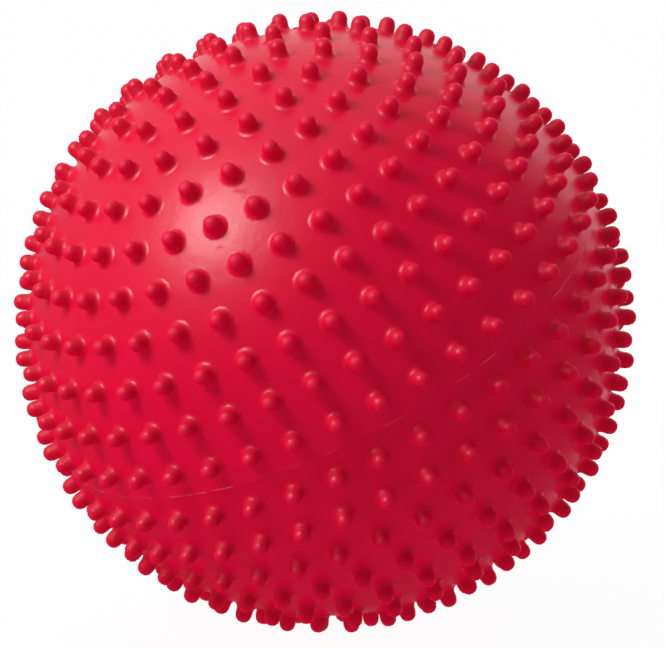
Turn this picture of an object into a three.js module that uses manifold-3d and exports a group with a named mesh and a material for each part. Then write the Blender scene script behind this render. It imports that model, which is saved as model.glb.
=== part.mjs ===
// Knobbly ball: a hollow soft-vinyl skin covered with rounded nubs and closed by a plug valve.
// Millimetres, +Z up, origin at the centre of the ball.
import * as THREE from 'three';
import { ConvexHull } from 'three/addons/math/ConvexHull.js';
import { mergeVertices } from 'three/addons/utils/BufferGeometryUtils.js';
import Module from 'manifold-3d';

const wasm = await Module();
wasm.setup();

// Driving dimensions of the ball
const BALL_DIAMETER = 200; // over the nub tips
const WALL = 1.8; // skin between the nubs
const NUB_DIAMETER = 6;
const NUB_HEIGHT = 6.4;
const NUB_SPACING = 13.9; // along the skin, from row to row and from nub to nub
const SEAM_MARGIN = 5; // least distance from the parting line to the axis of a nub
const SEAM_STAGGER = 9.45; // nubs that the lower half is turned by, so the halves stagger at the parting line

// Driving dimensions of the valve
const NECK_LENGTH = 9; // from the land into the ball
const NECK_WALL = 2;
const SEAT_DIAMETER = 13;
const FLANGE_THICKNESS = 1.5; // of the seat, behind the neck
const FLANGE_LIP = 1.6; // how far the flange reaches past the seat's body
const HEAD_DIAMETER = 9;
const HEAD_THICKNESS = 2;
const HEAD_EDGE = 0.4; // rounding of the head's rim
const STEM_DIAMETER = 5;
const STEM_TAPER = 0.6; // loss of diameter from root to tip
const STEM_LENGTH = 12;
const FIT = 0.3; // clearance between two pieces

// How the ball lies: its mould axis leans from the upright, towards a bearing, and is spun about itself
const AXIS_LEAN = 30;
const AXIS_BEARING = 210.7;
const AXIS_SPIN = 77.5;

// Facets
const NUB_SIDES = 5;
const DOME_LATITUDE = 35; // where the ring of corners sits on a nub's round tip, in degrees
const CAVITY_DETAIL = 3; // subdivision of the icosahedron that hollows the skin
const ROUND_SIDES = 20;
const EDGE_STEPS = 3;

const rad = THREE.MathUtils.degToRad;
const skinRadius = BALL_DIAMETER / 2 - NUB_HEIGHT;

// A five-sided nub is drawn as wide as a round one of the same cross-section
const polygonArea = (NUB_SIDES / 2) * Math.sin((2 * Math.PI) / NUB_SIDES);
const nubRadius = NUB_DIAMETER / 2;
const nubFootRadius = nubRadius * Math.sqrt(Math.PI / polygonArea);
const nubShoulderRadius = nubFootRadius * Math.cos(rad(DOME_LATITUDE));
const nubShoulderHeight = NUB_HEIGHT - nubRadius * (1 - Math.sin(rad(DOME_LATITUDE)));

// The valve takes the place of the nub on the lower pole, on the flat land inside the first row
const rowAngle = NUB_SPACING / skinRadius;
const landAngle = rowAngle - Math.asin(nubFootRadius / skinRadius);
const landHeight = skinRadius * Math.cos(landAngle);
const neckEnd = landHeight - NECK_LENGTH;
const seatRadius = SEAT_DIAMETER / 2;
const neckBore = seatRadius + FIT;
const headRadius = HEAD_DIAMETER / 2;
const headSeat = landHeight - HEAD_THICKNESS;
const stemRadius = STEM_DIAMETER / 2;

const vinyl = new THREE.MeshStandardMaterial({ color: '#d0082f', roughness: 0.42, metalness: 0 });
const bushing = new THREE.MeshStandardMaterial({ color: '#b3122f', roughness: 0.55, metalness: 0 });
const plug = new THREE.MeshStandardMaterial({ color: '#ece7dc', roughness: 0.4, metalness: 0 });

// Solid for cutting and joining, from any closed geometry
function toSolid(geometry) {
  const bare = geometry.clone();
  bare.deleteAttribute('normal');
  bare.deleteAttribute('uv');
  const merged = mergeVertices(bare, 1e-4);
  const vertProperties = new Float32Array(merged.attributes.position.array);
  const triVerts = new Uint32Array(merged.index.array);
  return new wasm.Manifold(new wasm.Mesh({ numProp: 3, vertProperties, triVerts }));
}

function toGeometry(solid) {
  const { vertProperties, triVerts } = solid.getMesh();
  const geometry = new THREE.BufferGeometry();
  geometry.setAttribute('position', new THREE.BufferAttribute(vertProperties, 3));
  geometry.setIndex(new THREE.BufferAttribute(triVerts, 1));
  geometry.computeVertexNormals();
  return geometry;
}

// Axes of all nubs. Rows run down from each pole at the nub spacing, and every row of a half starts on the
// same meridian with as many nubs as fit round it.
function nubAxes() {
  const quarter = (Math.PI / 2) * skinRadius;
  const rows = Math.floor((quarter - SEAM_MARGIN) / NUB_SPACING);
  const countAt = (row) => Math.round((2 * Math.PI * skinRadius * Math.sin(row * rowAngle)) / NUB_SPACING);
  const lowerTurn = (SEAM_STAGGER * 2 * Math.PI) / countAt(rows);
  const axes = [new THREE.Vector3(0, 0, 1)];
  for (const side of [1, -1]) {
    for (let row = 1; row <= rows; row += 1) {
      const count = countAt(row);
      for (let place = 0; place < count; place += 1) {
        const turn = (2 * Math.PI * place) / count + (side < 0 ? lowerTurn : 0);
        const axis = new THREE.Vector3().setFromSphericalCoords(1, row * rowAngle, turn);
        axes.push(new THREE.Vector3(axis.z, axis.x, side * axis.y));
      }
    }
  }
  return axes;
}

// Ring of corners round a nub's axis, counter-clockwise from outside, with one corner towards the pole
function nubRing(axis, radius, distance) {
  const east = new THREE.Vector3(-axis.y, axis.x, 0);
  if (east.lengthSq() < 1e-12) east.set(1, 0, 0);
  east.normalize();
  const north = new THREE.Vector3().crossVectors(axis, east);
  const poleward = axis.z < 0 ? -1 : 1;
  const ring = [];
  for (let side = 0; side < NUB_SIDES; side += 1) {
    const turn = (2 * Math.PI * side) / NUB_SIDES;
    const corner = axis.clone().multiplyScalar(distance);
    corner.addScaledVector(north, radius * poleward * Math.cos(turn));
    corner.addScaledVector(east, -radius * poleward * Math.sin(turn));
    ring.push(corner);
  }
  return ring;
}

// Outer form of the skin: the hull of all nub feet is the ball between the nubs, and each foot is drawn up
// through its shoulder to the tip
function knobblyForm() {
  const points = [];
  const footOf = new Map();
  const feet = [];
  const triangles = [];
  const footDistance = Math.sqrt(skinRadius ** 2 - nubFootRadius ** 2);
  nubAxes().forEach((axis, nub) => {
    const first = points.length;
    const foot = nubRing(axis, nubFootRadius, footDistance);
    foot.forEach((corner, side) => footOf.set(corner, { nub, index: first + side }));
    feet.push(...foot);
    points.push(...foot, ...nubRing(axis, nubShoulderRadius, skinRadius + nubShoulderHeight));
    points.push(axis.clone().multiplyScalar(skinRadius + NUB_HEIGHT));
    const tip = first + 2 * NUB_SIDES;
    for (let side = 0; side < NUB_SIDES; side += 1) {
      const next = (side + 1) % NUB_SIDES;
      const shoulder = first + NUB_SIDES + side;
      const nextShoulder = first + NUB_SIDES + next;
      triangles.push(first + side, first + next, nextShoulder);
      triangles.push(first + side, nextShoulder, shoulder);
      triangles.push(shoulder, nextShoulder, tip);
    }
  });
  for (const face of new ConvexHull().setFromPoints(feet).faces) {
    const corners = [0, 1, 2].map((side) => footOf.get(face.getEdge(side).head().point));
    const underNub = corners.every((corner) => corner.nub === corners[0].nub);
    if (!underNub) triangles.push(...corners.map((corner) => corner.index));
  }
  const geometry = new THREE.BufferGeometry().setFromPoints(points);
  geometry.setIndex(triangles);
  return geometry;
}

// Turned piece of the valve. The outline gives radius and distance from the ball's centre, and the axis
// points out of the lower pole.
function turned(outline) {
  const geometry = new THREE.LatheGeometry(outline, ROUND_SIDES);
  return geometry.rotateX(-Math.PI / 2);
}

const at = (radius, height) => new THREE.Vector2(radius, height);

// Radius of the tapered stem at a height, widened by a clearance
function stemRadiusAt(height, clearance) {
  const share = (headSeat - height) / STEM_LENGTH;
  return stemRadius - (STEM_TAPER / 2) * share + clearance;
}

// One hollow moulding: the nubbed ball, emptied except for the valve neck, with the neck bored through
function ballSkin() {
  const cavity = toSolid(new THREE.IcosahedronGeometry(skinRadius - WALL, CAVITY_DETAIL));
  const neckRadius = neckBore + NECK_WALL;
  const neck = turned([at(0, neckEnd), at(neckRadius, neckEnd), at(neckRadius, skinRadius), at(0, skinRadius)]);
  const bore = turned([at(0, 0), at(neckBore, 0), at(neckBore, BALL_DIAMETER), at(0, BALL_DIAMETER)]);
  const hollow = cavity.subtract(toSolid(neck));
  return toGeometry(toSolid(knobblyForm()).subtract(hollow).subtract(toSolid(bore)));
}

// Bush in the neck: flush with the land, flanged behind the neck, with a recess for the stopper's head
function valveSeat() {
  const flangeTop = neckEnd - FIT;
  const flangeEnd = flangeTop - FLANGE_THICKNESS;
  const flangeRadius = seatRadius + FLANGE_LIP;
  const recessRadius = headRadius + FIT;
  const recessFloor = headSeat - FIT;
  return turned([
    at(stemRadiusAt(flangeEnd, FIT), flangeEnd),
    at(flangeRadius, flangeEnd),
    at(flangeRadius, flangeTop),
    at(seatRadius, flangeTop),
    at(seatRadius, landHeight),
    at(recessRadius, landHeight),
    at(recessRadius, recessFloor),
    at(stemRadiusAt(recessFloor, FIT), recessFloor),
    at(stemRadiusAt(flangeEnd, FIT), flangeEnd),
  ]);
}

// Stopper: a flat head with a rounded rim, flush with the land, on a tapered stem with a round end
function valveStopper() {
  const stemTip = headSeat - STEM_LENGTH;
  const tipRadius = stemRadiusAt(stemTip, 0);
  const stemShoulder = stemTip + tipRadius;
  const outline = new THREE.Path();
  outline.moveTo(0, stemTip);
  outline.absarc(0, stemShoulder, stemRadiusAt(stemShoulder, 0), -Math.PI / 2, 0);
  outline.lineTo(stemRadius, headSeat);
  outline.lineTo(headRadius, headSeat);
  outline.lineTo(headRadius, landHeight - HEAD_EDGE);
  outline.absarc(headRadius - HEAD_EDGE, landHeight - HEAD_EDGE, HEAD_EDGE, 0, Math.PI / 2);
  outline.lineTo(0, landHeight);
  return turned(outline.getPoints(EDGE_STEPS));
}

function piece(name, geometry, material) {
  const mesh = new THREE.Mesh(geometry, material);
  mesh.name = name;
  return mesh;
}

// The ball stands on its mould axis inside the spin group, which leans with the group around it
const spin = new THREE.Group();
spin.rotation.z = rad(AXIS_SPIN);
spin.add(piece('ball_skin', ballSkin(), vinyl));
spin.add(piece('valve_seat', valveSeat(), bushing));
spin.add(piece('valve_stopper', valveStopper(), plug));

const lean = new THREE.Group();
lean.rotation.y = rad(AXIS_LEAN);
lean.add(spin);

const knobblyBall = new THREE.Group();
knobblyBall.rotation.z = rad(AXIS_BEARING);
knobblyBall.add(lean);

export default knobblyBall;
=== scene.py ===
# %% [markdown]
# # A knobbly ball
# The real object is a hollow ball of soft crimson vinyl, about 20 cm across, with rows of round-tipped nubs
# moulded into its skin. A small plug valve at the lower end of the mould axis closes it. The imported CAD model
# gives the frame: where each piece is, and which body it moves with. This lesson dresses that frame with a
# finer skin, a finer valve and a believable material.

# %% Load the frame
import math

import bmesh
import bpy
from mathutils import Matrix, Vector


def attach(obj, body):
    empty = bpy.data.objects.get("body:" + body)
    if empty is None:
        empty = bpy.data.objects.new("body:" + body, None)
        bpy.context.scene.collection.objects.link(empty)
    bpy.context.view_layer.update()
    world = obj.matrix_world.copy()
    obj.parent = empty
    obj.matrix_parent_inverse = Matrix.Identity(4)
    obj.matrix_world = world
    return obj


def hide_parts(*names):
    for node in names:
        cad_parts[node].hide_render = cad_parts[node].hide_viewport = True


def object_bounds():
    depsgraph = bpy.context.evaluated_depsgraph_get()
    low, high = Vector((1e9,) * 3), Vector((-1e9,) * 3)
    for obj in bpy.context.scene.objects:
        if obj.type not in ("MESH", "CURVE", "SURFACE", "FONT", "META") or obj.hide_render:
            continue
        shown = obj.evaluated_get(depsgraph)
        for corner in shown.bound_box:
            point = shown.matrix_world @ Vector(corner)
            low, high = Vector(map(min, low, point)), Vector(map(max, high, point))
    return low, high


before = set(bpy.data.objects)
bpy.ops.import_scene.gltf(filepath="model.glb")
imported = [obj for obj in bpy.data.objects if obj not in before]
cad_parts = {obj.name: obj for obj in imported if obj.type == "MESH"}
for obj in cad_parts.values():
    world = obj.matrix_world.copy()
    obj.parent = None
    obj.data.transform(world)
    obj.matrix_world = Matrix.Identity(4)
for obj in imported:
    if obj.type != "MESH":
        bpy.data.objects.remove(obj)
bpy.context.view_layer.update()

# %% [markdown]
# ## How the ball lies
# The ball has an axis: the two mould halves meet in a plane across it, and the rows of nubs run round it.
# In the photograph that axis leans. All pieces are modelled upright on the mould axis, where the numbers are
# simple, and one turn at the end lays them down. That is easier than placing 561 nubs in a leaning frame.

# %% The turn from the mould to the floor
AXIS_LEAN = math.radians(30)
AXIS_BEARING = math.radians(210.7)
AXIS_SPIN = math.radians(77.5)
laid_down = (
    Matrix.Rotation(AXIS_BEARING, 4, "Z")
    @ Matrix.Rotation(AXIS_LEAN, 4, "Y")
    @ Matrix.Rotation(AXIS_SPIN, 4, "Z")
)
mould_axis = laid_down.to_3x3() @ Vector((0, 0, 1))
print("mould axis", [round(part, 3) for part in mould_axis])

# %% [markdown]
# ## Where the nubs stand
# Rows run down from each pole, 13.9 mm apart on the CAD model's skin, and each row holds as many nubs as fit
# at that spacing. The lower half of the mould is turned against the upper one, so the rows on the two sides of
# the parting line don't line up. A loop over rows is shorter and truer than 561 placed objects. The lower pole
# has no nub, because the valve is there.

# %% Axes of the nubs
CAD_SKIN_RADIUS = 0.0936
NUB_SPACING = 0.0139
NUB_ROWS = 10
SEAM_STAGGER = 9.45
row_angle = NUB_SPACING / CAD_SKIN_RADIUS


def nubs_in_row(row):
    return round(2 * math.pi * math.sin(row * row_angle) / row_angle)


lower_turn = SEAM_STAGGER * 2 * math.pi / nubs_in_row(NUB_ROWS)
nub_axes = [Vector((0, 0, 1))]
for side, start in ((1, 0.0), (-1, lower_turn)):
    for row in range(1, NUB_ROWS + 1):
        lean = Vector((math.sin(row * row_angle), 0, side * math.cos(row * row_angle)))
        count = nubs_in_row(row)
        for place in range(count):
            turn = Matrix.Rotation(start + 2 * math.pi * place / count, 3, "Z")
            nub_axes.append(turn @ lean)
print(len(nub_axes), "nubs")

# %% [markdown]
# ## The skin between the nubs
# A UV sphere with nubs stuck on would show a crease round every foot. Here the skin is drawn from the nubs
# themselves: one point per nub, a convex hull over the points, and a finer grid in each triangle of the hull.
# Pushed out to the ball's radius, that grid has a neat fan of triangles round every nub. On the photograph's
# outline the nubs are 0.7 mm shorter than in the CAD model, so the skin lies that much further out here, and
# the tips stay where they are.

# %% Hull, grid and sphere
SKIN_RADIUS = 0.0943
skin = bmesh.new()
valve_axis = Vector((0, 0, -1))
for axis in nub_axes + [valve_axis]:
    skin.verts.new(axis * SKIN_RADIUS)
bmesh.ops.convex_hull(skin, input=skin.verts[:])
print("hull of", len(skin.verts), "points has", len(skin.faces), "triangles")

GRID_CUTS = 5
bmesh.ops.subdivide_edges(skin, edges=skin.edges[:], cuts=GRID_CUTS, use_grid_fill=True)


def push_to_sphere(points):
    for point in points:
        point.co = point.co.normalized() * SKIN_RADIUS


push_to_sphere(skin.verts)
print("grid has", len(skin.faces), "triangles")

# %% [markdown]
# ## Round feet
# The second ring of grid points round a nub has about twelve points. Those are moved on to an exact circle,
# evenly spaced, and the fan inside becomes one flat face: the foot that the nub will grow from. The valve gets
# a larger circle in the same way. The points in between are then relaxed, so that no triangle is pinched.

# %% Circles for the nubs and the valve
FOOT_RADIUS, FOOT_RINGS = 0.0043, 2
LAND_RADIUS, LAND_RINGS = 0.0094, 4
RELAX_ROUNDS = 4


def fan_and_rim(centre, rings):
    inside = [centre]
    for _ in range(rings - 1):
        reached = [edge.other_vert(point) for point in inside for edge in point.link_edges]
        inside = list(dict.fromkeys(inside + reached))
    fan = list(dict.fromkeys(face for point in inside for face in point.link_faces))
    rim = list(dict.fromkeys(point for face in fan for point in face.verts))
    return fan, inside, [point for point in rim if point not in inside]


def round_off(rim, axis, radius):
    across = axis.orthogonal().normalized()
    along = axis.cross(across)
    angles = [math.atan2(point.co.dot(along), point.co.dot(across)) for point in rim]
    turns = sorted((angle, n) for n, angle in enumerate(angles))
    step = 2 * math.pi / len(rim)
    first = sum(turn - place * step for place, (turn, _) in enumerate(turns)) / len(rim)
    centre = axis * math.sqrt(SKIN_RADIUS**2 - radius**2)
    for place, (_, n) in enumerate(turns):
        turn = first + place * step
        rim[n].co = centre + radius * (math.cos(turn) * across + math.sin(turn) * along)


feet, held = [], set()
circles = [(axis, FOOT_RINGS, FOOT_RADIUS) for axis in nub_axes] + [(valve_axis, LAND_RINGS, LAND_RADIUS)]
first_points = skin.verts[: len(circles)]
for point, (axis, rings, radius) in zip(first_points, circles):
    fan, inside, rim = fan_and_rim(point, rings)
    round_off(rim, axis, radius)
    feet += fan
    held.update(inside + rim)

loose = [point for point in skin.verts if point not in held]
for _ in range(RELAX_ROUNDS):
    bmesh.ops.smooth_vert(skin, verts=loose, factor=0.5, use_axis_x=True, use_axis_y=True, use_axis_z=True)
    push_to_sphere(loose)
bmesh.ops.dissolve_faces(skin, faces=feet, use_verts=True)
caps = [face for face in skin.faces if len(face.verts) > 4]
caps.sort(key=lambda face: face.calc_center_median().z)
land, nub_caps = caps[0], caps[1:]
foot_corners = sum(len(cap.verts) for cap in nub_caps) / len(nub_caps)
print(len(nub_caps), "feet with", round(foot_corners, 2), "corners on average")

# %% [markdown]
# ## Drawing up the nubs
# A nub is a short straight peg with a hemispherical tip and a small fillet at its foot. Inset with a depth
# draws all feet up at once: each step takes the next radius and height of the outline, in millimetres. Poke
# closes the tip. The circle round the foot is marked as a sharp edge, which keeps the fillet's bend out of the
# skin's shading. The outline has only a few steps, since smooth shading rounds them and there are hundreds of
# nubs.

# %% Insets from the foot to the tip
NUB_HEIGHT = 0.0057
NUB_OUTLINE = ((3.68, 0.08), (2.98, 0.58), (2.68, 1.50), (2.62, 3.25), (2.22, 4.55), (1.28, 5.42))
USUAL_CORNERS = 12
bmesh.ops.recalc_face_normals(skin, faces=skin.faces[:])
foot_rims = {edge for cap in nub_caps for edge in cap.edges}
corner_share = math.cos(math.pi / USUAL_CORNERS)
radius, height = FOOT_RADIUS, math.sqrt(SKIN_RADIUS**2 - FOOT_RADIUS**2) - SKIN_RADIUS
for next_radius, next_height in ((r / 1000, h / 1000) for r, h in NUB_OUTLINE):
    bmesh.ops.inset_individual(
        skin,
        faces=nub_caps,
        thickness=(radius - next_radius) * corner_share,
        depth=next_height - height,
        use_even_offset=True,
    )
    radius, height = next_radius, next_height
bmesh.ops.poke(skin, faces=nub_caps, offset=NUB_HEIGHT - height, center_mode="MEAN")
for edge in skin.edges:
    edge.smooth = edge not in foot_rims
tallest = max(point.co.length for point in skin.verts)
print("radius over the tips", round(tallest * 1000, 2), "mm")

# %% [markdown]
# ## Parting line
# Where the two mould halves met, a hair of vinyl was squeezed out and stays as a fine ridge round the ball.
# It could be painted on with a bump, but a real ridge also shows in the mesh. Three cuts across the mould axis
# give it an edge, a crest and an edge, and the crest is lifted by less than a tenth of a millimetre.

# %% Cut and lift the ridge
RIDGE_HALF_WIDTH = 0.00016
RIDGE_HEIGHT = 0.00007
TOUCHING, CUT_TOLERANCE = 1e-6, 1e-7
for level in (-RIDGE_HALF_WIDTH, 0.0, RIDGE_HALF_WIDTH):
    everything = skin.verts[:] + skin.edges[:] + skin.faces[:]
    bmesh.ops.bisect_plane(
        skin, geom=everything, dist=CUT_TOLERANCE, plane_co=(0, 0, level), plane_no=(0, 0, 1)
    )
crest = [point for point in skin.verts if abs(point.co.z) < TOUCHING]
ridge_edges = [point for point in skin.verts if abs(abs(point.co.z) - RIDGE_HALF_WIDTH) < TOUCHING]
push_to_sphere(ridge_edges)
for point in crest:
    point.co *= (SKIN_RADIUS + RIDGE_HEIGHT) / point.co.length
print("parting line with", len(crest), "points on its crest")

# %% [markdown]
# ## Valve land, neck and inner wall
# Round the valve the skin is flat. This land keeps its place from the CAD model, so it lies a little deeper
# than the skin here, and a short neck behind it reaches into the ball and holds the seat. The land face is
# inset and pushed inwards to make both. The inside of the ball can be seen through the open valve, so it gets
# its own wall: a turned-over icosphere, joined to the neck by a bridge between two loops.

# %% Land and neck
LAND_HEIGHT = 0.093017
NECK_LENGTH = 0.009
NECK_BORE = 0.0068
NECK_WALL = 0.002
INNER_RADIUS, INNER_DETAIL = 0.0918, 5
LAND_EDGE = 0.0008
BORE_EDGE = 0.0003
BRIDGE_DEPTH = 0.0035
BRIDGE_WIDTH = 0.0015
land_corner_share = math.cos(math.pi / len(land.verts))
land_step = math.sqrt(SKIN_RADIUS**2 - LAND_RADIUS**2) - LAND_HEIGHT


def push_in(radius_loss, depth):
    bmesh.ops.inset_individual(
        skin, faces=[land], thickness=radius_loss * land_corner_share, depth=-depth, use_even_offset=True
    )


push_in(LAND_EDGE, land_step)
push_in(LAND_RADIUS - LAND_EDGE - NECK_BORE - BORE_EDGE, 0.0)
push_in(BORE_EDGE, BORE_EDGE)
push_in(0.0, NECK_LENGTH - BORE_EDGE)
neck_rim = land.edges[:]
bmesh.ops.delete(skin, geom=[land], context="FACES_ONLY")


def draw_out(rim, growth, rise):
    drawn = bmesh.ops.extrude_edge_only(skin, edges=rim)["geom"]
    points = [part for part in drawn if isinstance(part, bmesh.types.BMVert)]
    bmesh.ops.scale(skin, vec=(growth, growth, 1), verts=points)
    bmesh.ops.translate(skin, vec=(0, 0, -rise), verts=points)
    return [part for part in drawn if isinstance(part, bmesh.types.BMEdge)]


neck_radius = NECK_BORE + NECK_WALL
neck_back = draw_out(neck_rim, neck_radius / NECK_BORE, 0.0)
neck_root = draw_out(neck_back, 1.0, NECK_LENGTH - BRIDGE_DEPTH)

inner = bmesh.ops.create_icosphere(skin, subdivisions=INNER_DETAIL, radius=INNER_RADIUS)["verts"]
inner_faces = list(dict.fromkeys(face for point in inner for face in point.link_faces))
bmesh.ops.reverse_faces(skin, faces=inner_faces)
gap_radius = neck_radius + BRIDGE_WIDTH
gap_points = [p for p in inner if p.co.z < 0 and math.hypot(p.co.x, p.co.y) < gap_radius]
bmesh.ops.delete(skin, geom=gap_points, context="VERTS")
gap_rim = [edge for edge in skin.edges if edge.is_boundary and edge not in neck_root]
bmesh.ops.bridge_loops(skin, edges=neck_root + gap_rim)
bmesh.ops.recalc_face_normals(skin, faces=skin.faces[:])
open_edges = sum(1 for edge in skin.edges if not edge.is_manifold)
print("skin:", len(skin.verts), "points,", len(skin.faces), "faces,", open_edges, "open edges")

# %% [markdown]
# ## From a bmesh to a piece
# Every piece ends in the same way: the mesh is laid down with the mould's turn, shaded smooth except at real
# edges, and linked to the scene as an object that sits at the origin. One helper does that for all three.

# %% Finish a piece
SHARP_EDGE = math.radians(60)


def finish_piece(name, shape):
    bmesh.ops.transform(shape, matrix=laid_down, verts=shape.verts[:])
    for face in shape.faces:
        face.smooth = True
    for edge in shape.edges:
        if edge.calc_face_angle(0.0) > SHARP_EDGE:
            edge.smooth = False
    mesh = bpy.data.meshes.new(name)
    shape.to_mesh(mesh)
    shape.free()
    piece = bpy.data.objects.new(name, mesh)
    bpy.context.scene.collection.objects.link(piece)
    triangles = sum(len(face.vertices) - 2 for face in mesh.polygons)
    print(name, "has", triangles, "triangles")
    return piece


ball_skin = finish_piece("nubbed_skin", skin)

# %% [markdown]
# ## Valve seat and stopper
# Both are turned parts, so half an outline and a full spin make them. The outline's corners are bevelled
# first, while it is still a wire: that rounds the edges of the turned part without selecting anything later.
# The seat is a soft bush with a flange behind the neck. The stopper is a tapered stem under a flat head that
# lies flush in the seat, with a shallow dish for a fingertip.

# %% Turned parts
TURN_STEPS = 48


def turned_piece(name, outline, rounding, closed):
    shape = bmesh.new()
    points = [shape.verts.new((radius / 1000, 0, -height / 1000)) for radius, height in outline]
    pairs = list(zip(points, points[1:] + (points[:1] if closed else [])))
    for one, other in pairs:
        shape.edges.new((one, other))
    corners = points if closed else points[1:-1]
    bmesh.ops.bevel(
        shape, geom=corners, offset=rounding / 1000, segments=2, profile=0.5, affect="VERTICES", material=-1
    )
    bmesh.ops.spin(
        shape,
        geom=shape.verts[:] + shape.edges[:],
        cent=(0, 0, 0),
        axis=(0, 0, 1),
        angle=2 * math.pi,
        steps=TURN_STEPS,
        use_merge=True,
    )
    bmesh.ops.remove_doubles(shape, verts=shape.verts[:], dist=TOUCHING)
    bmesh.ops.recalc_face_normals(shape, faces=shape.faces[:])
    return finish_piece(name, shape)


LAND = LAND_HEIGHT * 1000
SEAT_OUTLINE = (
    (2.52, LAND - 10.8),
    (8.10, LAND - 10.8),
    (8.10, LAND - 9.3),
    (6.50, LAND - 9.3),
    (6.50, LAND),
    (4.80, LAND),
    (4.80, LAND - 2.3),
    (2.79, LAND - 2.3),
)
STOPPER_OUTLINE = (
    (0.00, LAND - 14.0),
    (1.30, LAND - 13.8),
    (2.15, LAND - 12.6),
    (2.27, LAND - 11.0),
    (2.50, LAND - 2.0),
    (4.50, LAND - 2.0),
    (4.50, LAND),
    (3.10, LAND),
    (2.70, LAND - 0.35),
    (0.00, LAND - 0.35),
)
valve_seat = turned_piece("valve_bush", SEAT_OUTLINE, 0.2, True)
valve_stopper = turned_piece("plug_stopper", STOPPER_OUTLINE, 0.25, False)

# %% [markdown]
# ## What rides on what
# The skin and the bush belong to the ball. The stopper is a body of its own, because it pulls out. Each piece
# stands for one CAD node, which is then hidden and stays behind for collision.

# %% Bodies, nodes and slots
for piece, body, node, slot in (
    (ball_skin, "ball", "ball_skin", "vinyl"),
    (valve_seat, "ball", "valve_seat", "seat"),
    (valve_stopper, "stopper", "valve_stopper", "stopper"),
):
    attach(piece, body)
    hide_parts(node)
    print(piece.name, "rides on", body)

# %% [markdown]
# ## Small helpers for materials
# Node trees are easier to read as a chain of short lines. One helper adds a node and sets its values, and a
# socket can be given a number or another node's output. Some nodes have several sockets of the same name, so a
# socket can also be given by its number: i0 is the first.

# %% Adding nodes


def add_node(tree, kind, settings=(), **inputs):
    node = tree.nodes.new(kind)
    for name, value in dict(settings).items():
        setattr(node, name, value)
    for name, value in inputs.items():
        key = int(name[1:]) if name[1:].isdigit() else name.replace("_", " ")
        if isinstance(value, bpy.types.NodeSocket):
            tree.links.new(value, node.inputs[key])
        else:
            node.inputs[key].default_value = value
    return node


def maths(tree, operation, one, other=0.0):
    return add_node(tree, "ShaderNodeMath", {"operation": operation}, i0=one, i1=other).outputs[0]


def spread(tree, value, low, high, to_low=0.0, to_high=1.0):
    return add_node(
        tree, "ShaderNodeMapRange", i0=value, i1=low, i2=high, i3=to_low, i4=to_high
    ).outputs[0]


def cloud(tree, place, scale, detail=2.0, rough=0.5):
    node = add_node(tree, "ShaderNodeTexNoise", Vector=place, Scale=scale, Detail=detail, Roughness=rough)
    return node.outputs["Fac"]


print("helpers for nodes: add_node, maths, spread, cloud")

# %% [markdown]
# ## A surface that came out of a mould
# Soft vinyl is never even: pigment and gloss drift over a few centimetres, the skin is slightly wavy, and it
# has a fine grain. All three pieces share that, so it is a node group with its own scales. It only puts out
# values that vary over the surface, and each material decides what to do with them.

# %% Node group: moulded surface
moulded = bpy.data.node_groups.new("moulded_surface", "ShaderNodeTree")
for socket, value in (("Drift Scale", 45.0), ("Wave Scale", 120.0), ("Grain Scale", 700.0)):
    entry = moulded.interface.new_socket(socket, in_out="INPUT", socket_type="NodeSocketFloat")
    entry.default_value = value
for socket in ("Drift", "Wave", "Grain"):
    moulded.interface.new_socket(socket, in_out="OUTPUT", socket_type="NodeSocketFloat")
group_in = moulded.nodes.new("NodeGroupInput")
group_out = moulded.nodes.new("NodeGroupOutput")
place = add_node(moulded, "ShaderNodeTexCoord").outputs["Object"]
for socket, detail in (("Drift", 3.0), ("Wave", 2.0), ("Grain", 1.0)):
    value = cloud(moulded, place, group_in.outputs[socket + " Scale"], detail)
    moulded.links.new(value, group_out.inputs[socket])
print("group moulded_surface with", len(moulded.nodes), "nodes")

# %% [markdown]
# ## Marks from handling
# A ball that has been used carries dust specks, dull smudges where fingers touched it, and faint rubbed
# streaks. Specks come from the middle of Voronoi cells, thinned out by a second noise. Smudges are the rare
# peaks of a slightly stretched noise, and streaks are noise stretched much further. All three are masks: a
# speck is paler, and a smudge or a streak only takes away some of the gloss, so it shows in a highlight and
# hardly elsewhere.

# %% Node group: handling marks
SPECK_EDGE, SPECK_PATCHES, SPECK_PEAKS = (0.035, 0.06), 33.0, (0.60, 0.66)
SMUDGE_TURN, SMUDGE_STRETCH, SMUDGE_PEAKS = (0.9, 0.3, 1.1), 2.2, (0.66, 0.72)
STREAK_TURN, STREAK_STRETCH, STREAK_PEAKS = (0.4, 0.7, 0.2), 14.0, (0.58, 0.74)
STREAK_PATCHES, PATCH_PEAKS = 21.0, (0.5, 0.7)
marks = bpy.data.node_groups.new("handling_marks", "ShaderNodeTree")
for socket, value in (("Speck Scale", 170.0), ("Smudge Scale", 95.0), ("Streak Scale", 60.0)):
    entry = marks.interface.new_socket(socket, in_out="INPUT", socket_type="NodeSocketFloat")
    entry.default_value = value
for socket in ("Speck", "Smudge", "Streak"):
    marks.interface.new_socket(socket, in_out="OUTPUT", socket_type="NodeSocketFloat")
group_in = marks.nodes.new("NodeGroupInput")
group_out = marks.nodes.new("NodeGroupOutput")
place = add_node(marks, "ShaderNodeTexCoord").outputs["Object"]

cells = add_node(marks, "ShaderNodeTexVoronoi", Vector=place, Scale=group_in.outputs["Speck Scale"])
dot = spread(marks, cells.outputs["Distance"], *SPECK_EDGE, 1.0, 0.0)
seldom = spread(marks, cloud(marks, place, SPECK_PATCHES), *SPECK_PEAKS)
marks.links.new(maths(marks, "MULTIPLY", dot, seldom), group_out.inputs["Speck"])


def stretched_cloud(turn, stretch, scale):
    longer = add_node(marks, "ShaderNodeMapping", Vector=place, Rotation=turn, Scale=(1, stretch, stretch))
    return cloud(marks, longer.outputs[0], scale, detail=3.0, rough=0.6)


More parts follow.
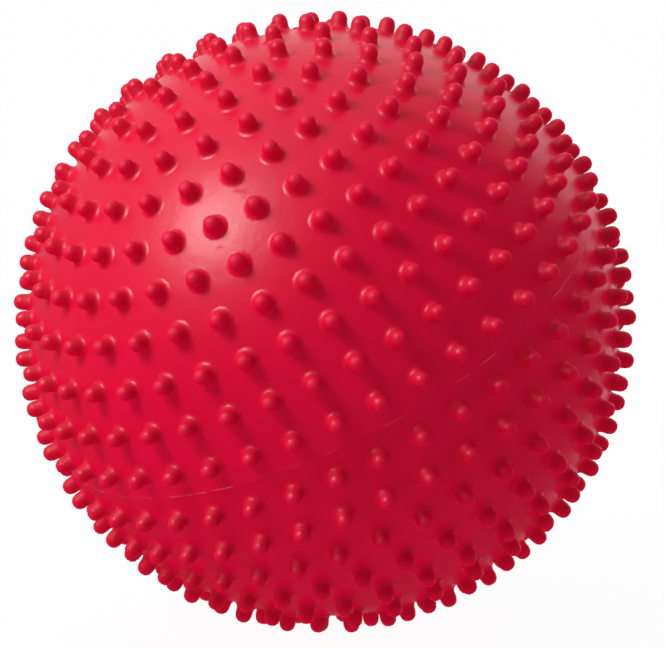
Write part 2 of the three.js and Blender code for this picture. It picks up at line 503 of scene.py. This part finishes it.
blot = stretched_cloud(SMUDGE_TURN, SMUDGE_STRETCH, group_in.outputs["Smudge Scale"])
smudge = spread(marks, blot, *SMUDGE_PEAKS)
marks.links.new(smudge, group_out.inputs["Smudge"])
line = stretched_cloud(STREAK_TURN, STREAK_STRETCH, group_in.outputs["Streak Scale"])
patch = spread(marks, cloud(marks, place, STREAK_PATCHES), *PATCH_PEAKS)
streak = maths(marks, "MULTIPLY", spread(marks, line, *STREAK_PEAKS), patch)
marks.links.new(streak, group_out.inputs["Streak"])
print("group handling_marks with", len(marks.nodes), "nodes")

# %% [markdown]
# ## Helpers for whole materials
# All three materials start in the same way, take both groups with scales of their own, mix colours and stack
# bumps. Each of those is a few lines, so each gets a helper. The Mix node has its sockets for colours behind
# those for numbers and vectors, as inputs 6 and 7 and output 2.

# %% Material helpers


def colour_mix(tree, share, one, other):
    return add_node(tree, "ShaderNodeMix", {"data_type": "RGBA"}, i0=share, i6=one, i7=other).outputs[2]


def new_material(name):
    material = bpy.data.materials.new(name)
    material.use_nodes = True
    tree = material.node_tree
    tree.nodes.clear()
    output = tree.nodes.new("ShaderNodeOutputMaterial")
    shader = tree.nodes.new("ShaderNodeBsdfPrincipled")
    tree.links.new(shader.outputs[0], output.inputs[0])
    return material, tree, shader


def place_group(tree, group, **scales):
    node = add_node(tree, "ShaderNodeGroup", {"node_tree": group})
    for name, value in scales.items():
        node.inputs[name.replace("_", " ")].default_value = value
    return node.outputs


def bump(tree, height, distance, normal=None):
    node = add_node(tree, "ShaderNodeBump", Height=height, Distance=distance, Strength=1.0)
    if normal is not None:
        tree.links.new(normal, node.inputs["Normal"])
    return node.outputs[0]


print("helpers for materials: colour_mix, new_material, place_group, bump")

# %% [markdown]
# ## Crimson vinyl: where things are
# The material has to know the parts of a nub and the parting line. Both come from Object coordinates: the
# parts of a nub from the distance to the ball's centre, and the parting line from the distance to the mould's
# middle plane. Each band says where a mask fades in or out, in metres: over the skin for the parts of a nub,
# A noise breaks the line into stretches, and only those are pale. The ridge itself is real, and its pale colour
# in those stretches is a painted highlight for the glint of the ridge.

# %% Masks of the skin
FOOT_BAND = (0.0002, 0.0014)
SHAFT_END_BAND = (0.0031, 0.0047)
DOME_BAND = (0.0029, 0.0039)
TIP_BAND = (0.0046, 0.0051)
SEAM_BAND = (0.00004, 0.00014)
STRETCH_SCALE, STRETCH_PEAKS = 110.0, (0.50, 0.60)
vinyl, tree, shader = new_material("crimson_vinyl")
place = add_node(tree, "ShaderNodeTexCoord").outputs["Object"]
from_centre = add_node(tree, "ShaderNodeVectorMath", {"operation": "LENGTH"}, i0=place).outputs["Value"]


def fade_in(band):
    return spread(tree, from_centre, SKIN_RADIUS + band[0], SKIN_RADIUS + band[1])


def fade_out(band):
    return spread(tree, from_centre, SKIN_RADIUS + band[0], SKIN_RADIUS + band[1], 1.0, 0.0)


on_shaft = maths(tree, "MULTIPLY", fade_in(FOOT_BAND), fade_out(SHAFT_END_BAND))
on_dome = fade_in(DOME_BAND)
on_tip = fade_in(TIP_BAND)
across_seam = add_node(
    tree, "ShaderNodeVectorMath", {"operation": "DOT_PRODUCT"}, i0=place, i1=mould_axis
).outputs["Value"]
near_seam = spread(tree, maths(tree, "ABSOLUTE", across_seam), *SEAM_BAND, 1.0, 0.0)
stretches = spread(tree, cloud(tree, place, STRETCH_SCALE, detail=4.0, rough=0.6), *STRETCH_PEAKS)
# the stretches of the parting line that get a painted highlight
seam_highlight_mask = maths(tree, "MULTIPLY", near_seam, stretches)
print("masks made with", len(tree.nodes), "nodes")

# %% [markdown]
# ## Crimson vinyl: colour, gloss and bumps
# The skin is coloured all through. It has a satin gloss: sharp enough to show a soft window, dull enough to
# blur its edge. The shafts of the nubs are duller than the skin between them, and the very tips are dull too.
# The shafts are also mixed towards a deeper red, which is painted shade: their flanks stay darker than the skin
# between them, perhaps because a nub is solid and lets less light through. The domes are uneven and break a
# highlight into two or three glints. Every mask takes away a share of the gloss, and only the largest share
# counts.

# %% Material of the skin
DRIFT_RANGE = (0.3, 0.7)
DEEP_RED, LIGHT_RED = (0.68, 0.0008, 0.034, 1), (0.73, 0.0012, 0.040, 1)
# painted shade: a deeper red for the shafts of the nubs, and how much of it they take
SHAFT_SHADE_RED, SHAFT_SHADE_SHARE = (0.50, 0.0008, 0.015, 1), 0.25
# pale pink for the dust specks, and for the painted highlight on the parting line
PALE_PINK, SPECK_SHARE, SEAM_HIGHLIGHT_SHARE = (0.88, 0.36, 0.34, 1), 0.35, 0.40
ROUGH_RANGE = (0.38, 0.34)
WAVE_DEPTH, GRAIN_DEPTH, RIPPLE_DEPTH = 0.00015, 0.00003, 0.00013
RIPPLE_SCALE = 1100.0
VINYL_IOR = 1.53
surface = place_group(tree, moulded)
wear = place_group(tree, marks)

reds = colour_mix(tree, spread(tree, surface["Drift"], *DRIFT_RANGE), DEEP_RED, LIGHT_RED)
# painted shade: the shafts of the nubs are mixed towards a deeper red
reds = colour_mix(tree, maths(tree, "MULTIPLY", on_shaft, SHAFT_SHADE_SHARE), reds, SHAFT_SHADE_RED)
pale_specks = maths(tree, "MULTIPLY", wear["Speck"], SPECK_SHARE)
# painted highlight: stretches of the parting line are mixed towards pale pink, for the glint of its ridge
painted_seam_highlight = maths(tree, "MULTIPLY", seam_highlight_mask, SEAM_HIGHLIGHT_SHARE)
pale = maths(tree, "MAXIMUM", pale_specks, painted_seam_highlight)
tree.links.new(colour_mix(tree, pale, reds, PALE_PINK), shader.inputs["Base Color"])

handled = maths(tree, "MAXIMUM", wear["Smudge"], wear["Streak"])
dull = 0.0
for mask, loss in ((handled, 0.22), (pale, 0.3), (on_tip, 0.24), (on_shaft, 0.20)):
    dull = maths(tree, "MAXIMUM", dull, maths(tree, "MULTIPLY", mask, loss))
gloss = spread(tree, surface["Drift"], *DRIFT_RANGE, *ROUGH_RANGE)
tree.links.new(maths(tree, "ADD", gloss, dull), shader.inputs["Roughness"])

waves = bump(tree, surface["Wave"], WAVE_DEPTH)
grain = bump(tree, surface["Grain"], GRAIN_DEPTH, waves)
ripple = maths(tree, "MULTIPLY", cloud(tree, place, RIPPLE_SCALE, detail=1.0), on_dome)
tree.links.new(bump(tree, ripple, RIPPLE_DEPTH, grain), shader.inputs["Normal"])
shader.inputs["IOR"].default_value = VINYL_IOR
ball_skin.data.materials.append(vinyl)
print("crimson_vinyl with", len(tree.nodes), "nodes")

# %% [markdown]
# ## Bush and stopper
# The bush is a duller, darker vinyl and the stopper a smooth off-white plastic. They use the same two groups
# with finer scales, because the pieces are small, so they look made in the same works and not like samples.

# %% Materials of the valve
RUBBED_PALE, RUBBED_SHARE = (0.7, 0.62, 0.58, 1), 0.25
ROUGH_DRIFT = 0.05
VALVE_WAVE_DEPTH, VALVE_GRAIN_DEPTH = 0.00003, 0.000012
VALVE_IOR = 1.5


def valve_material(name, deep, light, rough):
    material, tree, shader = new_material(name)
    surface = place_group(tree, moulded, Drift_Scale=220.0, Wave_Scale=600.0, Grain_Scale=4000.0)
    wear = place_group(tree, marks, Speck_Scale=700.0, Smudge_Scale=400.0, Streak_Scale=300.0)
    tone = colour_mix(tree, spread(tree, surface["Drift"], *DRIFT_RANGE), deep, light)
    rubbed = maths(tree, "MAXIMUM", wear["Streak"], wear["Speck"])
    pale = maths(tree, "MULTIPLY", rubbed, RUBBED_SHARE)
    tree.links.new(colour_mix(tree, pale, tone, RUBBED_PALE), shader.inputs["Base Color"])
    gloss = spread(tree, surface["Drift"], *DRIFT_RANGE, rough + ROUGH_DRIFT, rough - ROUGH_DRIFT)
    tree.links.new(maths(tree, "ADD", gloss, pale), shader.inputs["Roughness"])
    waves = bump(tree, surface["Wave"], VALVE_WAVE_DEPTH)
    tree.links.new(bump(tree, surface["Grain"], VALVE_GRAIN_DEPTH, waves), shader.inputs["Normal"])
    shader.inputs["IOR"].default_value = VALVE_IOR
    print(name, "with", len(tree.nodes), "nodes")
    return material


dull_vinyl = valve_material("dull_vinyl", (0.36, 0.003, 0.02, 1), (0.46, 0.006, 0.03, 1), 0.5)
white_plastic = valve_material("white_plastic", (0.74, 0.70, 0.61, 1), (0.83, 0.80, 0.72, 1), 0.38)
valve_seat.data.materials.append(dull_vinyl)
valve_stopper.data.materials.append(white_plastic)

# %% [markdown]
# ## Camera
# How fast the nubs crowd together towards the outline tells how far away the camera stood: the nearer it is,
# the more of the picture the middle of the ball fills. The photograph fits a camera 1.29 m off, a little above
# the middle of the ball. It is moved sideways and down by as much as the ball lies off the middle of the frame.

# %% Place the camera
CAMERA_DISTANCE = 1.29
CAMERA_ELEVATION = math.radians(8.7)
LENS, SENSOR_WIDTH = 217.1, 36
ASIDE, RAISED = 0.00247, -0.00063
to_camera = Vector((0, -math.cos(CAMERA_ELEVATION), math.sin(CAMERA_ELEVATION)))
camera_up = Vector((0, math.sin(CAMERA_ELEVATION), math.cos(CAMERA_ELEVATION)))
camera = bpy.data.objects.new("photo_camera", bpy.data.cameras.new("photo_camera"))
camera.data.sensor_width = SENSOR_WIDTH
camera.data.lens = LENS
camera.location = to_camera * CAMERA_DISTANCE + Vector((ASIDE, 0, 0)) + camera_up * RAISED
camera.rotation_euler = (math.pi / 2 - CAMERA_ELEVATION, 0, 0)
bpy.context.scene.collection.objects.link(camera)
bpy.context.scene.camera = camera
print("camera at", [round(part, 3) for part in camera.location])

# %% [markdown]
# ## Floor
# The ball lies on a light table: a pale opal sheet that glows from below, as used for pictures on white. The
# camera sees the sheet almost white, with a share of its real shading left in so that the ball keeps its
# shadow. It lets the studio's light through from below, so it casts no shadow itself, and its bounce isn't
# needed.

# %% Floor and its material
FLOOR_HALF_WIDTH = 12
SEEN_WHITE = 0.955
ball_low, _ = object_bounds()
floor_shape = bmesh.new()
bmesh.ops.create_grid(floor_shape, x_segments=1, y_segments=1, size=FLOOR_HALF_WIDTH)
bmesh.ops.translate(floor_shape, vec=(0, 0, ball_low.z), verts=floor_shape.verts[:])
floor_mesh = bpy.data.meshes.new("pale_floor")
floor_shape.to_mesh(floor_mesh)
floor_shape.free()
floor = bpy.data.objects.new("pale_floor", floor_mesh)
floor.visible_glossy = False
floor.visible_diffuse = False
floor.visible_shadow = False
bpy.context.scene.collection.objects.link(floor)

paper = bpy.data.materials.new("pale_paper")
paper.use_nodes = True
tree = paper.node_tree
tree.nodes.clear()
rays = tree.nodes.new("ShaderNodeLightPath")
matt = add_node(tree, "ShaderNodeBsdfDiffuse", Color=(0.85, 0.85, 0.85, 1))
white = add_node(tree, "ShaderNodeEmission", Color=(1, 1, 1, 1), Strength=1.0)
share = maths(tree, "MULTIPLY", rays.outputs["Is Camera Ray"], SEEN_WHITE)
mixed = add_node(tree, "ShaderNodeMixShader", i0=share, i1=matt.outputs[0], i2=white.outputs[0])
add_node(tree, "ShaderNodeOutputMaterial", Surface=mixed.outputs[0])
floor.data.materials.append(paper)
print("floor at", round(ball_low.z * 1000, 2), "mm")

# %% [markdown]
# ## Soft box
# A small soft box stands to the upper left, in front of the ball. Its blurred picture is the pale spot on the
# ball's shoulder, and it draws the shadow that each nub throws towards the lower right. A larger box would
# wash those shadows out.

# %% Place the soft box
KEY_DIRECTION = Vector((-0.615, -0.475, 0.629)).normalized()
KEY_DISTANCE = 0.9
KEY_SIZE, KEY_POWER = 0.36, 4.3
key = bpy.data.objects.new("soft_box", bpy.data.lights.new("soft_box", "AREA"))
key.data.shape = "DISK"
key.data.size = KEY_SIZE
key.data.energy = KEY_POWER
key.location = KEY_DIRECTION * KEY_DISTANCE
key.rotation_euler = KEY_DIRECTION.to_track_quat("Z", "Y").to_euler()
bpy.context.scene.collection.objects.link(key)
print("soft box of", KEY_POWER, "W at", [round(part, 2) for part in key.location])

# %% [markdown]
# ## White walls
# The studio's white walls fill the shadows. Most of that light comes from the lower left and from the upper
# right behind the ball, and least from the camera's side, so the nubs that face the camera stay darker than the
# skin round them. Three suns with a very wide angle do that: each lights its side as evenly as an overcast sky.
# They are kept out of the gloss, because a ball that mirrored white on every side would lose its deep red.

# %% Fill from the walls
WALL_ANGLE = math.radians(150)
for name, aim, strength in (
    ("low_left_wall", (-0.76, -0.18, -0.62), 2.3),
    ("high_right_wall", (0.72, 0.44, 0.54), 1.75),
    ("low_right_wall", (0.66, 0.22, -0.72), 0.95),
):
    wall = bpy.data.objects.new(name, bpy.data.lights.new(name, "SUN"))
    wall.data.angle = WALL_ANGLE
    wall.data.energy = strength
    wall.rotation_euler = Vector(aim).to_track_quat("Z", "Y").to_euler()
    wall.visible_glossy = False
    wall.data.cycles.use_multiple_importance_sampling = False
    bpy.context.scene.collection.objects.link(wall)
    print(name, "with", strength, "W per square metre")

# %% [markdown]
# ## What the gloss mirrors
# The world is what the gloss sees: a white tent over the ball's left shoulder that is brightest at its top, a
# white backdrop behind, and a dark room on the camera's side, which keeps the middle of the ball a deep red.
# The backdrop shows only where the skin turns away, as pale patches between the nubs of the outline. Each is a
# direction and how closely a ray points along it. The camera itself sees white.

# %% World
UPRIGHT = (0, 0, 1)
TENT_DIRECTION = (-0.61, 0.365, 0.704)
TENT_FOOT, TENT_RISE = 0.14, 0.40
BACKDROP_DIRECTION = (0.22, 0.95, 0.22)
BACKDROP_LEVEL = 0.9
DARK_ROOM = 0.06
world = bpy.data.worlds.new("studio")
world.use_nodes = True
tree = world.node_tree
tree.nodes.clear()
rays = tree.nodes.new("ShaderNodeLightPath")
direction = add_node(tree, "ShaderNodeTexCoord").outputs["Generated"]


def towards(aim, start, full, level):
    along = add_node(tree, "ShaderNodeVectorMath", {"operation": "DOT_PRODUCT"}, i0=direction, i1=aim)
    return spread(tree, along.outputs["Value"], start, full, 0.0, level)


tent_level = maths(tree, "ADD", towards(UPRIGHT, 0.0, 0.8, TENT_RISE), TENT_FOOT)
tent = maths(tree, "MULTIPLY", towards(TENT_DIRECTION, 0.42, 0.54, 1.0), tent_level)
behind = towards(BACKDROP_DIRECTION, 0.68, 0.93, BACKDROP_LEVEL)
room = maths(tree, "MAXIMUM", maths(tree, "MAXIMUM", tent, behind), DARK_ROOM)
seen = maths(tree, "MAXIMUM", rays.outputs["Is Camera Ray"], room)
backdrop = add_node(tree, "ShaderNodeBackground", Color=(1, 1, 1, 1), Strength=seen)
add_node(tree, "ShaderNodeOutputWorld", Surface=backdrop.outputs[0])
bpy.context.scene.world = world
bpy.context.scene.view_settings.view_transform = "Standard"
print("studio with", len(tree.nodes), "nodes")
